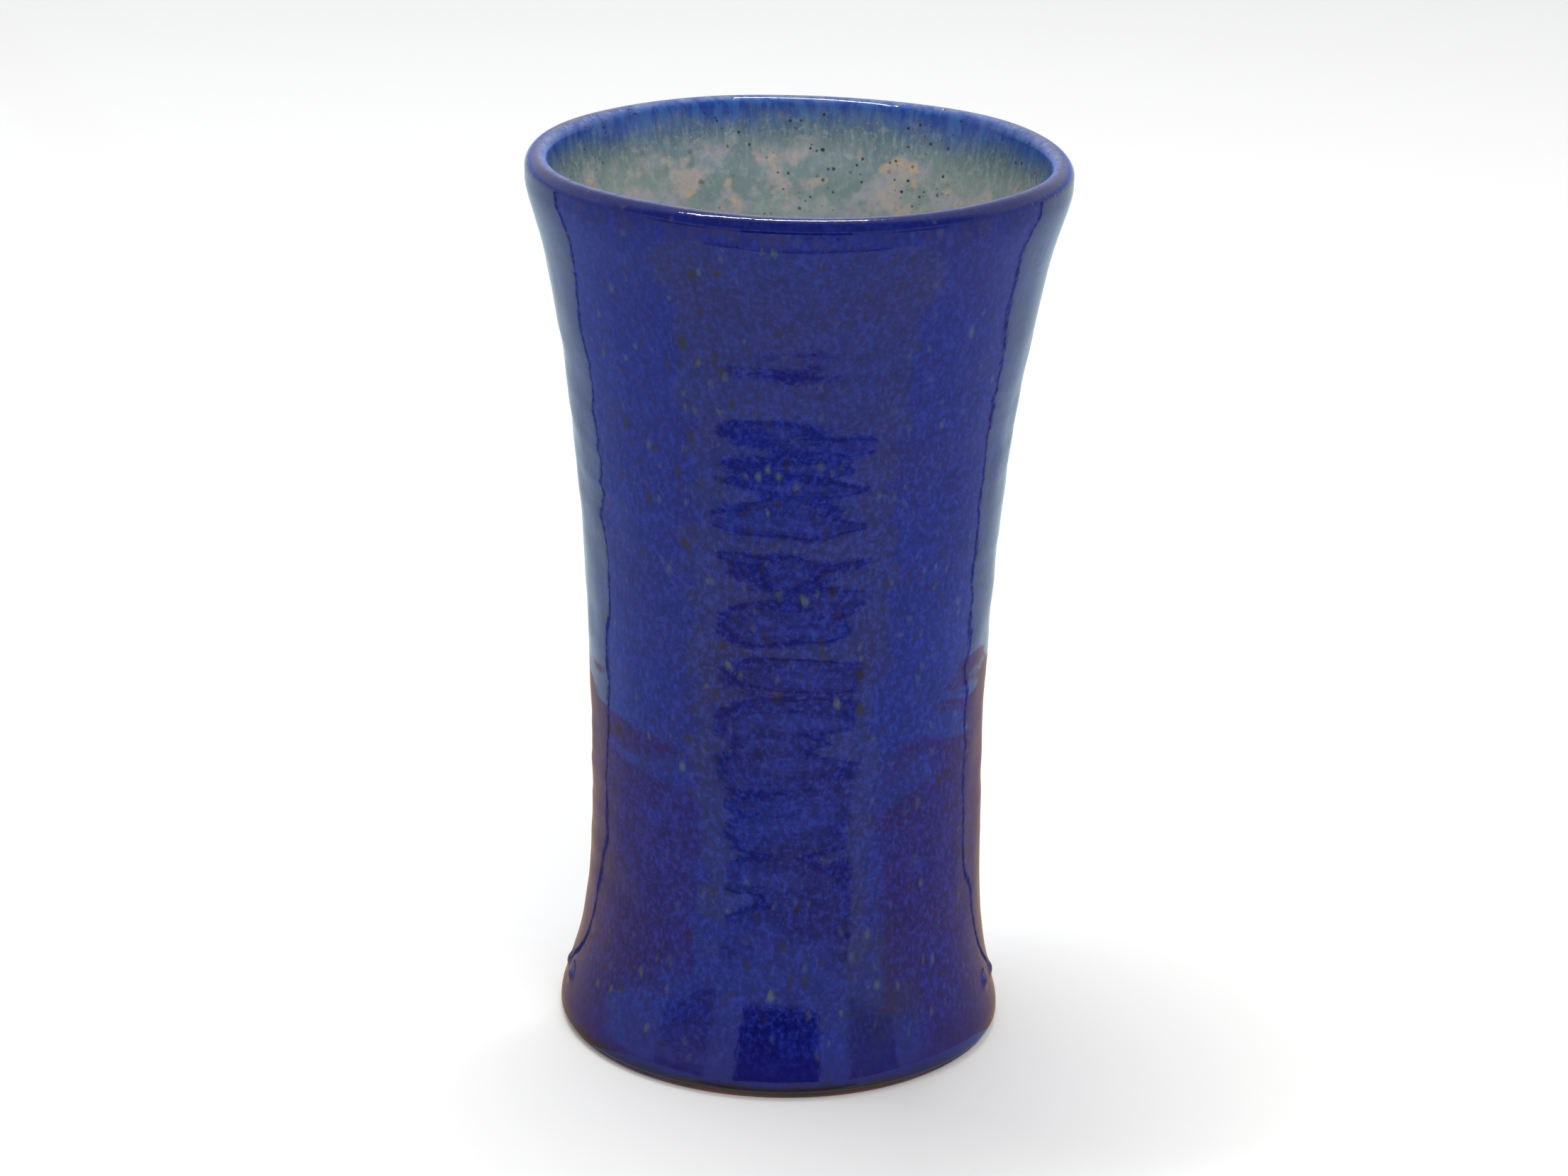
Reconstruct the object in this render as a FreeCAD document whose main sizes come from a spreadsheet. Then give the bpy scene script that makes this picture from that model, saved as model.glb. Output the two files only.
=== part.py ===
"""Tall waisted shaving mug, thrown in stoneware and glazed, with no handle.

Four pieces share the Z axis. The stoneware body is the bare clay. Three coats of fired
glaze lie on it: the outer coat from the glaze line up to the lip, the rim coat over the
lip and a little way down inside, and the liner coat over the rest of the inside. Each
coat is drawn from the same wall curves as the clay, so the pieces meet face to face.
Z = 0 is the plane the foot stands on. Sizes are in millimetres.
"""

import FreeCAD, Part
import os

import Sketcher

SIZES = {
    "total_height": 172.5,  # foot plane to the crest of the lip
    "mouth_radius": 50.0,  # widest reach of the lip
    "waist_radius": 37.7,  # outside, over the glaze
    "waist_height": 44.5,  # where the wall stands upright
    "foot_radius": 43.0,  # outside, over the glaze
    "flare_angle": 12.0,  # lean of the wall below the lip, in degrees
    "lip_thickness": 4.2,  # glazed lip, a full round
    "waist_wall": 5.0,  # glazed wall at the waist
    "foot_wall": 10.5,  # from the foot's reach in to the wall above the inside corner
    "floor_thickness": 6.0,  # clay between the foot recess and the liner
    "floor_corner": 12.0,  # radius between the inside wall and the floor
    "glaze_thickness": 0.5,
    "glaze_line": 1.5,  # bare clay shows below this height
    "glaze_roll": 0.3,  # rounding of the outer coat's lower edge
    "rim_band": 8.0,  # rim coat inside the mug, measured down the wall from the lip's round
    "ring_width": 8.0,  # foot ring, with its two bevels
    "foot_bevel": 0.8,
    "recess_depth": 2.2,
    "recess_fillet": 0.8,
    # Handles of the wall curves, as shares of the height that each curve climbs
    "foot_pull": 0.10,
    "lower_waist_pull": 0.75,
    "upper_waist_pull": 0.35,
    "lip_pull": 0.38,
    "inside_pull": 0.40,
}

CLAY = "Sizes.glaze_thickness"  # depth of the clay below the glazed face
FACE = "0"  # depth of the glazed face itself
ON_AXIS = "0"
LINE = ("line",)
ORIGIN = (-1, 1)
X_AXIS, Y_AXIS = -1, -2
START, END, CENTRE = 1, 2, 3

# Formulas shared by the clay and its coats
FLARE = "(Sizes.flare_angle * 1 deg)"
LIP_RADIUS = "(Sizes.lip_thickness / 2)"
LIP_X = f"(Sizes.mouth_radius - {LIP_RADIUS})"
LIP_Z = f"(Sizes.total_height - {LIP_RADIUS})"
LOWER_CLIMB = "(Sizes.waist_height - Sizes.glaze_line)"
UPPER_CLIMB = "(Sizes.total_height - Sizes.waist_height)"
INSIDE_WAIST = "(Sizes.waist_radius - Sizes.waist_wall)"
INSIDE_FOOT = "(Sizes.foot_radius - Sizes.foot_wall)"
FLOOR_Z = "(Sizes.recess_depth + Sizes.floor_thickness + Sizes.glaze_thickness)"
CORNER_X = f"({INSIDE_FOOT} - Sizes.floor_corner)"
CORNER_Z = f"({FLOOR_Z} + Sizes.floor_corner)"
CORNER_CLIMB = f"(Sizes.waist_height - {CORNER_Z})"
FOOT_EDGE = "(Sizes.foot_radius - Sizes.glaze_thickness)"
RING_INSIDE = f"({FOOT_EDGE} - Sizes.ring_width)"

doc = FreeCAD.newDocument("shaving_mug")
sheet = doc.addObject("Spreadsheet::Sheet", "Sizes")
for row, (alias, size) in enumerate(SIZES.items(), start=1):
    sheet.set(f"A{row}", alias)
    sheet.set(f"B{row}", str(size))
    sheet.setAlias(f"B{row}", alias)
doc.recompute()


def value(formula):
    """The number that a formula gives with the sizes in the sheet."""
    return float(sheet.evalExpression(formula))


def vector(point):
    """A sketch vector from a pair of formulas, radius and height."""
    return FreeCAD.Vector(value(point[0]), value(point[1]), 0)


# Paths along the wall. A path is a list of points with an edge between each two.


def lip_join(side, depth):
    """Where the lip's round meets the wall, on the outer side (1) or the inner side (-1)."""
    reach = f"{side} * ({LIP_RADIUS} - {depth})"
    return (f"{LIP_X} + {reach} * cos({FLARE})", f"{LIP_Z} - {reach} * sin({FLARE})")


def down_flare(point, distance):
    """The point moved down the wall by a distance, along the lean of the flare."""
    return (f"{point[0]} - {distance} * sin({FLARE})", f"{point[1]} - {distance} * cos({FLARE})")


def outer_path(depth):
    """Outside wall, from the glaze line up to the lip."""
    foot_x = f"Sizes.foot_radius - {depth}"
    waist_x = f"Sizes.waist_radius - {depth}"
    top = lip_join(1, depth)
    lower_curve = (
        "curve",
        (foot_x, f"Sizes.glaze_line + Sizes.foot_pull * {LOWER_CLIMB}"),
        (waist_x, f"Sizes.waist_height - Sizes.lower_waist_pull * {LOWER_CLIMB}"),
    )
    upper_curve = (
        "curve",
        (waist_x, f"Sizes.waist_height + Sizes.upper_waist_pull * {UPPER_CLIMB}"),
        down_flare(top, f"Sizes.lip_pull * {UPPER_CLIMB}"),
    )
    return [(foot_x, "Sizes.glaze_line"), lower_curve, (waist_x, "Sizes.waist_height"), upper_curve, top]


def rim_path(depth):
    """Over the lip and down the inside to the end of the rim coat."""
    inner = lip_join(-1, depth)
    over = ("arc", (LIP_X, LIP_Z), 1)
    return [lip_join(1, depth), over, inner, LINE, down_flare(inner, "Sizes.rim_band")]


def liner_path(depth):
    """Inside wall from the rim coat down, round the corner and in to the axis."""
    inner = lip_join(-1, depth)
    climb = f"({UPPER_CLIMB} - Sizes.rim_band)"
    waist_x = f"{INSIDE_WAIST} + {depth}"
    foot_x = f"{INSIDE_FOOT} + {depth}"
    floor_z = f"{FLOOR_Z} - {depth}"
    upper_curve = (
        "curve",
        down_flare(inner, f"(Sizes.rim_band + Sizes.lip_pull * {climb})"),
        (waist_x, f"Sizes.waist_height + Sizes.upper_waist_pull * {climb}"),
    )
    lower_curve = (
        "curve",
        (waist_x, f"Sizes.waist_height - Sizes.inside_pull * {CORNER_CLIMB}"),
        (foot_x, f"{CORNER_Z} + Sizes.inside_pull * {CORNER_CLIMB}"),
    )
    corner = ("arc", (CORNER_X, CORNER_Z), -1)
    return [
        down_flare(inner, "Sizes.rim_band"),
        upper_curve,
        (waist_x, "Sizes.waist_height"),
        lower_curve,
        (foot_x, CORNER_Z),
        corner,
        (CORNER_X, floor_z),
        LINE,
        (ON_AXIS, floor_z),
    ]


def backwards(path):
    """The same path walked from its far end."""
    steps = []
    for step in reversed(path):
        if step[0] == "curve":
            step = ("curve", step[2], step[1])
        elif step[0] == "arc":
            step = ("arc", step[1], -step[2])
        steps.append(step)
    return steps


def coat(path):
    """Closed section of a coat, out along its face and back along the clay."""
    return path(FACE) + [LINE] + backwards(path(CLAY))


# Sketches and solids


def pin(sketch, place, point):
    """Hold one point of a sketch at a radius and a height given by formulas."""
    for kind, axis, formula in (("DistanceX", Y_AXIS, point[0]), ("DistanceY", X_AXIS, point[1])):
        if formula == ON_AXIS:
            sketch.addConstraint(Sketcher.Constraint("PointOnObject", *place, axis))
        elif formula:
            index = sketch.addConstraint(Sketcher.Constraint(kind, *ORIGIN, *place, value(formula)))
            sketch.setExpression(f"Constraints[{index}]", formula)


def add_line(sketch, start, end):
    """A straight edge. Gives its index and the names of its first and last points."""
    return sketch.addGeometry(Part.LineSegment(vector(start), vector(end)), False), START, END


def add_curve(sketch, start, end, first_handle, last_handle):
    """A cubic edge with two handles, each pinned by its own formulas."""
    poles = [vector(point) for point in (start, first_handle, last_handle, end)]
    index = sketch.addGeometry(Part.BSplineCurve(poles, None, None, False, 3, None, False), False)
    sketch.exposeInternalGeometry(index)
    pin(sketch, (index + 2, CENTRE), first_handle)
    pin(sketch, (index + 3, CENTRE), last_handle)
    return index, START, END


def add_arc(sketch, start, end, centre, turn):
    """A round edge about a pinned centre, anticlockwise when turn is 1."""
    middle = vector(centre)
    low, high = (start, end) if turn == 1 else (end, start)
    spokes = [vector(low) - middle, vector(high) - middle]
    angles = [FreeCAD.Vector(1, 0, 0).getAngle(spoke) * (1 if spoke.y >= 0 else -1) for spoke in spokes]
    circle = Part.Circle(middle, FreeCAD.Vector(0, 0, 1), spokes[0].Length)
    index = sketch.addGeometry(Part.ArcOfCircle(circle, *angles), False)
    pin(sketch, (index, CENTRE), centre)
    return (index, START, END) if turn == 1 else (index, END, START)


def arc_end_pin(centre, end):
    """The one coordinate that fixes an arc's end, the other being left to its radius."""
    spoke = vector(end) - vector(centre)
    return (None, end[1]) if abs(spoke.x) > abs(spoke.y) else (end[0], None)


def draw(body, name, outline):
    """Closed sketch on the body's XZ plane. The outline's last point joins its first."""
    adders = {"line": add_line, "curve": add_curve, "arc": add_arc}
    sketch = body.newObject("Sketcher::SketchObject", name)
    plane = next(item for item in body.Origin.OriginFeatures if item.Role == "XZ_Plane")
    sketch.AttachmentSupport = [(plane, "")]
    sketch.MapMode = "FlatFace"
    points = outline[0::2]
    edges = outline[1::2] + [LINE]
    drawn = []
    for number, (kind, *guides) in enumerate(edges):
        start, end = points[number], points[(number + 1) % len(points)]
        drawn.append(adders[kind](sketch, start, end, *guides))
    for number, (index, first, last) in enumerate(drawn):
        before, its_last = drawn[number - 1][0], drawn[number - 1][2]
        sketch.addConstraint(Sketcher.Constraint("Coincident", before, its_last, index, first))
        point = points[number]
        if edges[number - 1][0] == "arc":
            point = arc_end_pin(edges[number - 1][1], point)
        pin(sketch, (index, first), point)
    return sketch


def revolve(body, kind, name, outline):
    """Full turn of an outline about Z, as a Revolution or a Groove."""
    sketch = draw(body, f"{name}_section", outline)
    feature = body.newObject(kind, name)
    feature.Profile = sketch
    feature.ReferenceAxis = (sketch, ["V_Axis"])
    feature.Angle = 360
    sketch.Visibility = False
    doc.recompute()
    return feature


def dress(body, kind, name, base, circles, driven, alias):
    """Fillet or Chamfer on the circular edges at the given (radius, height) formulas."""
    wanted = [(value(radius), value(height)) for radius, height in circles]
    edges = []
    for number, edge in enumerate(base.Shape.Edges, start=1):
        if isinstance(edge.Curve, Part.Circle):
            size = (edge.Curve.Radius, edge.Curve.Center.z)
            if any(abs(size[0] - r) < 0.001 and abs(size[1] - z) < 0.001 for r, z in wanted):
                edges.append(f"Edge{number}")
    if len(edges) != len(circles):
        raise RuntimeError(f"{name} found {len(edges)} of {len(circles)} edges")
    feature = body.newObject(kind, name)
    feature.Base = (base, edges)
    feature.setExpression(driven, f"Sizes.{alias}")
    doc.recompute()
    return feature


def make_body(label):
    """Empty PartDesign body named after its piece."""
    body = doc.addObject("PartDesign::Body", label)
    body.Label = label
    return body


def make_stoneware_body():
    """Clay wall, floor and foot, with a shallow turned recess under the foot."""
    body = make_body("stoneware_body")
    foot = [(ON_AXIS, ON_AXIS), LINE, (FOOT_EDGE, ON_AXIS), LINE]
    wall = outer_path(CLAY)[:-1] + rim_path(CLAY)[:-1] + liner_path(CLAY)
    thrown = revolve(body, "PartDesign::Revolution", "thrown_clay", foot + wall)
    ceiling = "Sizes.recess_depth"
    recess = [
        (ON_AXIS, ON_AXIS),
        LINE,
        (RING_INSIDE, ON_AXIS),
        LINE,
        (RING_INSIDE, ceiling),
        LINE,
        (ON_AXIS, ceiling),
    ]
    turned = revolve(body, "PartDesign::Groove", "foot_recess", recess)
    if turned.Shape.Volume >= thrown.Shape.Volume:
        raise RuntimeError("the foot recess removed no clay")
    ring = [(FOOT_EDGE, ON_AXIS), (RING_INSIDE, ON_AXIS)]
    bevelled = dress(body, "PartDesign::Chamfer", "foot_bevels", turned, ring, "Size", "foot_bevel")
    inner = [(RING_INSIDE, ceiling)]
    dress(body, "PartDesign::Fillet", "recess_round", bevelled, inner, "Radius", "recess_fillet")
    return body


def make_coat(label, path):
    """One coat of glaze, from the section between its face and the clay."""
    body = make_body(label)
    revolve(body, "PartDesign::Revolution", f"{label}_coat", coat(path))
    return body


def make_outer_glaze():
    """Outer coat, with its lower edge rolled where the glaze stopped."""
    body = make_coat("outer_glaze", outer_path)
    edge = [("Sizes.foot_radius", "Sizes.glaze_line")]
    dress(body, "PartDesign::Fillet", "glaze_edge", body.Tip, edge, "Radius", "glaze_roll")
    return body


def check_document():
    """Stop if any object failed, any sketch is loose or any shape is unsound."""
    for item in doc.Objects:
        if {"Invalid", "Error"} & set(item.State):
            raise RuntimeError(f"{item.Name} is {item.State}")
        if item.TypeId == "Sketcher::SketchObject" and not item.FullyConstrained:
            raise RuntimeError(f"{item.Name} is not fully constrained")
    for piece in pieces:
        if piece.Shape.isNull() or not piece.Shape.isValid() or len(piece.Shape.Solids) != 1:
            raise RuntimeError(f"{piece.Label} is not one sound solid")


pieces = [
    make_stoneware_body(),
    make_outer_glaze(),
    make_coat("rim_glaze", rim_path),
    make_coat("liner_glaze", liner_path),
]
doc.recompute()
check_document()

os.makedirs("parts", exist_ok=True)
for piece in pieces:
    piece.Shape.exportStep(f"parts/{piece.Label}.step")
    print(piece.Label, round(piece.Shape.Volume, 1), "mm3")
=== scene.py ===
import math

import bpy
import numpy as np
from mathutils import Matrix, Vector, noise


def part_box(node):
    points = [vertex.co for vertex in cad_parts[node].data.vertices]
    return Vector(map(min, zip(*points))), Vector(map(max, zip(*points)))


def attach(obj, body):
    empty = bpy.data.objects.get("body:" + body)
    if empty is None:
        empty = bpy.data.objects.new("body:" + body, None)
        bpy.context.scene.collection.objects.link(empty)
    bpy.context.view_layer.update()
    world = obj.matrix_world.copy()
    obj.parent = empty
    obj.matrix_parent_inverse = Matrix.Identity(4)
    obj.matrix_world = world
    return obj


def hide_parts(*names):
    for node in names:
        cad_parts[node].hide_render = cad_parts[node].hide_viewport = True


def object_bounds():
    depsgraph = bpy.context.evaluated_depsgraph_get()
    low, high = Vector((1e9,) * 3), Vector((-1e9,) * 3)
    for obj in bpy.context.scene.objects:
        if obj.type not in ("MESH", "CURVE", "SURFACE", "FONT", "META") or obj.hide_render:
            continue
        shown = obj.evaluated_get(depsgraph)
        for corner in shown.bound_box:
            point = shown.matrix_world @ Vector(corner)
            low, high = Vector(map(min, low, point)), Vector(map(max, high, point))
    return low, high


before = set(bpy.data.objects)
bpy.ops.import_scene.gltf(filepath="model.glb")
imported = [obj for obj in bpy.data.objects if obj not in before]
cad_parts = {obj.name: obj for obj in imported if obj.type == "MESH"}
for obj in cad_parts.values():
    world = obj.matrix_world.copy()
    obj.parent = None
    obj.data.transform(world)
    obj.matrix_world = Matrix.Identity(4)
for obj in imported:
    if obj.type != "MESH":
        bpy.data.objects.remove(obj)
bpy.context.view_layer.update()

# Tall waisted mug, thrown on the wheel: a clay body and three coats of glaze.
# Metres, Z up, standing on Z = 0 with its axis on Z. The camera looks along +Y.

# Sizes read from the frame.

hair = 0.00005  # slack when heights are compared


def reaches(node, low=-1.0, high=1.0):
    # (radius, height) of a node's points between two heights
    points = [(math.hypot(v.co.x, v.co.y), v.co.z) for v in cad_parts[node].data.vertices]
    return [p for p in points if low <= p[1] <= high]


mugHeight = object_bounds()[1].z
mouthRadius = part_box("rim_glaze")[1].x
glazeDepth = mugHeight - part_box("stoneware_body")[1].z
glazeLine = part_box("outer_glaze")[0].z
waistRadius, waistHeight = min(reaches("outer_glaze"))
waistRadius += glazeDepth
footBand = 3 * glazeLine  # the lowest stretch of the outer coat
footRadius = max(reaches("outer_glaze", high=footBand))[0]
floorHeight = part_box("liner_glaze")[0].z + glazeDepth
floorReach = max(reaches("liner_glaze", high=floorHeight + hair))[0]
insideWaist = min(reaches("liner_glaze", waistHeight - 2 * hair, waistHeight + 2 * hair))[0]

mugShape = {
    "flare": math.radians(12),  # lean of the wall under the lip
    "lipThickness": 0.0042,
    "rimBand": 0.008,  # rim coat inside, below the round of the lip
    "cornerRadius": 0.012,  # inside, between wall and floor
    "footPull": 0.10,  # how far each bend of the wall holds on, as a share of its climb
    "lowerWaistPull": 0.75,
    "upperWaistPull": 0.35,
    "lipPull": 0.38,
    "insidePull": 0.40,
    "edgeRoll": 0.0003,  # rounded lower edge of the outer coat
}
footRing = {
    "width": 0.008,
    "bevel": 0.0008,
    "recess": 0.0022,
    "recessRound": 0.0008,
}
detail = {
    "columns": 300,
    "fine": 0.00058,  # spacing of rows on glazed faces that show
    "hidden": 0.0022,  # spacing of rows between clay and glaze
    "lipCloser": 3,  # hidden rows over the lip are this many times closer
    "ring": 0.0003,  # spacing up the foot ring's sides
    "recessRound": 0.0002,
    "edgeRoll": 0.00012,
    "fewest": 4,  # steps of a curve at least
    "touching": 1e-7,  # points this close are one
    "clayCoarser": 1.3,  # rows of these faces, as multiples of the fine spacing
    "rimFiner": 0.5,
    "linerCoarser": 1.2,
    "sharpAngle": math.radians(45),
}

lipRadius = mugShape["lipThickness"] / 2
lipMiddle = np.array([mouthRadius - lipRadius, mugHeight - lipRadius])
cosFlare, sinFlare = math.cos(mugShape["flare"]), math.sin(mugShape["flare"])
downWall = np.array([-sinFlare, -cosFlare])
cornerMiddle = np.array([floorReach, floorHeight + mugShape["cornerRadius"]])


# The mug's section, as (radius, height) points.


def bend(start, pullA, pullB, end, step):
    # smooth curve with two pulls
    start, pullA, pullB, end = (np.array(p, float) for p in (start, pullA, pullB, end))
    count = max(detail["fewest"], int(np.linalg.norm(end - start) / step))
    t = np.linspace(0, 1, count + 1)[:, None]
    first, last = (1 - t) ** 3 * start, t**3 * end
    return first + 3 * (1 - t) ** 2 * t * pullA + 3 * (1 - t) * t**2 * pullB + last


def turn(middle, radius, fromAngle, toAngle, step):
    # round stretch about a middle point
    count = max(detail["fewest"], int(abs(toAngle - fromAngle) * radius / step))
    a = np.linspace(fromAngle, toAngle, count + 1)
    return np.column_stack([middle[0] + radius * np.cos(a), middle[1] + radius * np.sin(a)])


def straight(start, end, step):
    start, end = np.array(start, float), np.array(end, float)
    count = max(1, int(np.linalg.norm(end - start) / step))
    return start + np.linspace(0, 1, count + 1)[:, None] * (end - start)


def chain(*runs):
    # joins runs that meet end to end, without doubling the shared points
    points = [runs[0]]
    for run in runs[1:]:
        meets = np.allclose(points[-1][-1], run[0], atol=detail["touching"])
        points.append(run[1:] if meets else run)
    return np.vstack(points)


def lipJoin(side, depth):
    # where the round of the lip meets the wall: side 1 is outside, -1 inside
    return lipMiddle + side * (lipRadius - depth) * np.array([cosFlare, -sinFlare])


def outerWall(depth, step):
    # outside face, glaze line up to the lip
    footX, waistX = footRadius - depth, waistRadius - depth
    top = lipJoin(1, depth)
    lowClimb, highClimb = waistHeight - glazeLine, mugHeight - waistHeight
    low = bend(
        (footX, glazeLine),
        (footX, glazeLine + mugShape["footPull"] * lowClimb),
        (waistX, waistHeight - mugShape["lowerWaistPull"] * lowClimb),
        (waistX, waistHeight),
        step,
    )
    high = bend(
        (waistX, waistHeight),
        (waistX, waistHeight + mugShape["upperWaistPull"] * highClimb),
        top + mugShape["lipPull"] * highClimb * downWall,
        top,
        step,
    )
    return chain(low, high)


def overLip(depth, step):
    # over the lip and down the inside to where the rim coat ends
    flare = mugShape["flare"]
    crown = turn(lipMiddle, lipRadius - depth, -flare, math.pi - flare, step)
    inner = lipJoin(-1, depth)
    return chain(crown, straight(inner, inner + mugShape["rimBand"] * downWall, step))


def rowsToCrest(depth, step):
    # how many rows of overLip lie outside the crest
    return len(turn(lipMiddle, lipRadius - depth, 0, math.pi, step)) // 2


def innerWall(depth, step):
    # inside face, rim coat down to the middle of the floor
    top = lipJoin(-1, depth) + mugShape["rimBand"] * downWall
    climb = mugHeight - waistHeight - mugShape["rimBand"]
    waistX = insideWaist + depth
    footX = cornerMiddle[0] + mugShape["cornerRadius"] + depth
    cornerClimb = mugShape["insidePull"] * (waistHeight - cornerMiddle[1])
    high = bend(
        top,
        top + mugShape["lipPull"] * climb * downWall,
        (waistX, waistHeight + mugShape["upperWaistPull"] * climb),
        (waistX, waistHeight),
        step,
    )
    low = bend(
        (waistX, waistHeight),
        (waistX, waistHeight - cornerClimb),
        (footX, cornerMiddle[1] + cornerClimb),
        (footX, cornerMiddle[1]),
        step,
    )
    corner = turn(cornerMiddle, mugShape["cornerRadius"] + depth, 0, -math.pi / 2, step)
    floor = straight(corner[-1], (0, corner[-1][1]), step)
    return chain(high, low, corner, floor)


# The thrower's hand: rings, a soft lip, a wall slightly out of round.

throwing = {
    "ringPitch": 0.0088,
    "ringSize": 0.00005,
    "ringUneven": 1.1,  # how much the rings come and go
    "ringUnevenLength": 0.022,
    "ripplePitch": 0.0038,
    "rippleSize": 0.000012,
    "riseSkew": 1.6,  # over 1, a ring rises slowly and drops quickly
    "riseMiddle": 0.4,
    "drift": 0.6,  # how far the rings wander, in turns
    "driftLength": 0.045,
    "calm": 0.45,  # how much flatter the rings are above the step
    "calmFade": 0.004,
    "restFoot": 0.012,  # the rings begin this far above the foot
    "restFade": 0.020,  # and grow over this height, as they fade under the crest
    "oval": 0.00025,
    "ovalPhase": 0.7,  # twice the angle that the oval is turned back, in radians
    "sway": 0.00045,  # the lower wall sits a little to the right of the lip
    "swayHeight": 0.034,
    "swayReach": 0.022,
    "footSway": 0.00045,  # and the foot a little to the left
    "footSwayFade": 0.014,
    "lipRoll": 0.0009,  # extra thickness of the lip, outside
    "lipRollDrop": 0.0060,
    "lipRollAbove": 0.0036,  # how quickly the roll fades towards the crest
    "lipRollBelow": 0.0075,
    "lipTilt": 0.00035,  # the lip stands a little higher at the back
    "lipTiltAngle": math.radians(70),
    "lipShare": 0.2,  # share of the height that the lip's wave and tilt reach down
    "footRoll": 0.00030,  # swell of the foot
    "footRollHeight": 0.0125,
    "footRollFade": 0.0016,
    "footRollStart": 0.004,
    "step": 0.00030,  # one deep ring high on the wall
    "stepHeight": 0.1345,
    "stepClimb": 0.0030,
    "stepEdge": 0.0015,
    "stepLength": 0.016,
    "beadSize": 0.00075,  # beads of glaze low on either side
    "beadReach": 0.0014,
    "axisReach": 0.010,  # the middle of the floor stays true within this radius
}
# smooth unevenness by kind: a flat over 1 makes it longer round the mug than up it
unevenness = {
    "dents": {"size": 0.00008, "length": 0.020, "flat": 2.7, "seed": 8},
    "presses": {"size": 0.00007, "length": 0.0090, "flat": 1.25, "seed": 11},
    "glazeRuns": {"size": 0.00006, "length": 0.0062, "flat": 0.45, "seed": 13},
    "swells": {"size": 0.00024, "length": 0.030, "flat": 0.6, "seed": 1},
    "lipWave": {"size": 0.00030, "length": 0.040, "flat": 0, "seed": 7},
}
handSeeds = {"drift": 3, "outside": 4, "inside": 5}
# where the beads sit: angle from +X in degrees, and height
beads = [(182, 0.0095), (190, 0.0088), (-3, 0.0098), (-14, 0.0106)]


def lumps(x, y, z, size, seed):
    # smooth unevenness between about -1 and 1
    shift = seed * 17.3  # keeps the seeds well apart
    flat = zip(np.ravel(x) / size + shift, np.ravel(y) / size - shift, np.ravel(z) / size)
    return np.array([noise.noise(Vector(p)) for p in flat]).reshape(np.shape(x)) * 2


def uneven(kind, x, y, height):
    spec = unevenness[kind]
    return spec["size"] * lumps(x, y, height * spec["flat"], spec["length"], spec["seed"])


def ringShape(turns):
    # one ring over each whole turn
    phase = turns - np.floor(turns)
    return np.sin(math.pi * phase ** throwing["riseSkew"]) ** 2 - throwing["riseMiddle"]


def past(value, middle, width):
    # soft step: 0 well below the middle value, 1 well above it
    return 1 / (1 + np.exp((middle - value) / width))


def hump(away, reach):
    return np.exp(-((away / reach) ** 2))


def wallRings(x, y, height, angle, inside):
    # throwing rings and finger marks, which climb the other way round inside
    drift = throwing["drift"] * lumps(x, y, height, throwing["driftLength"], handSeeds["drift"])
    spiral = (angle / (2 * math.pi)) * (-1 if inside else 1) + drift
    seed = handSeeds["inside" if inside else "outside"]
    fading = lumps(x, y, height, throwing["ringUnevenLength"], seed)
    strength = 1 + throwing["ringUneven"] * fading
    out = throwing["ringSize"] * strength * ringShape(height / throwing["ringPitch"] + spiral)
    ripple = ringShape(height / throwing["ripplePitch"] + spiral)
    out = out + throwing["rippleSize"] * strength * ripple
    for kind in ("dents", "presses", "glazeRuns"):
        out = out + uneven(kind, x, y, height)
    awake = np.clip((height - throwing["restFoot"]) / throwing["restFade"], 0, 1)
    awake = awake * np.clip((mugHeight - height) / throwing["restFade"], 0, 1)
    calm = 1 - throwing["calm"] * past(height, throwing["stepHeight"], throwing["calmFade"])
    return out * awake * calm


def outsideMarks(radius, height, angle):
    # the lip's roll, the foot's swell, the beads and the deep ring
    below = (mugHeight - height) - throwing["lipRollDrop"]
    reach = np.where(below < 0, throwing["lipRollAbove"], throwing["lipRollBelow"])
    out = throwing["lipRoll"] * hump(below, reach)
    swell = past(throwing["footRollHeight"], height, throwing["footRollFade"])
    out = out + throwing["footRoll"] * swell * np.clip(height / throwing["footRollStart"], 0, 1)
    for degrees, at in beads:
        # minus the square of the way round the wall to the bead
        aside = (np.cos(angle - math.radians(degrees)) - 1) * radius**2 * 2
        near = (aside - (height - at) ** 2) / throwing["beadReach"] ** 2
        out = out + throwing["beadSize"] * np.exp(near)
    stepTop = throwing["stepHeight"] - throwing["stepClimb"] * np.cos(angle)
    fall = np.maximum(stepTop - height, 0)
    edge = past(stepTop, height, throwing["stepEdge"])
    return out - throwing["step"] * edge * np.exp(-fall / throwing["stepLength"])


def thrown(radius, height, angle, inside):
    # moved radius and height of section points at an angle, all arrays of one shape
    x, y = radius * np.cos(angle), radius * np.sin(angle)
    out = wallRings(x, y, height, angle, inside) + uneven("swells", x, y, height)
    share = np.clip(height / mugHeight, 0, 1)
    out = out + throwing["oval"] * np.cos(2 * angle + throwing["ovalPhase"]) * share**2
    sway = throwing["sway"] * hump(height - throwing["swayHeight"], throwing["swayReach"])
    sway = sway - throwing["footSway"] * hump(height, throwing["footSwayFade"])
    out = out + sway * np.cos(angle)
    if not inside:
        out = out + outsideMarks(radius, height, angle)
    lipReach = throwing["lipShare"] * mugHeight
    top = np.clip((height - mugHeight + lipReach) / lipReach, 0, 1) ** 2
    tilt = throwing["lipTilt"] * np.clip(np.cos(angle - throwing["lipTiltAngle"]), 0, 1)
    lift = uneven("lipWave", x, y, height) + tilt - unevenness["lipWave"]["size"]
    offAxis = np.clip(radius / throwing["axisReach"], 0, 1)
    return radius + out * offAxis, height + lift * top


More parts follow.
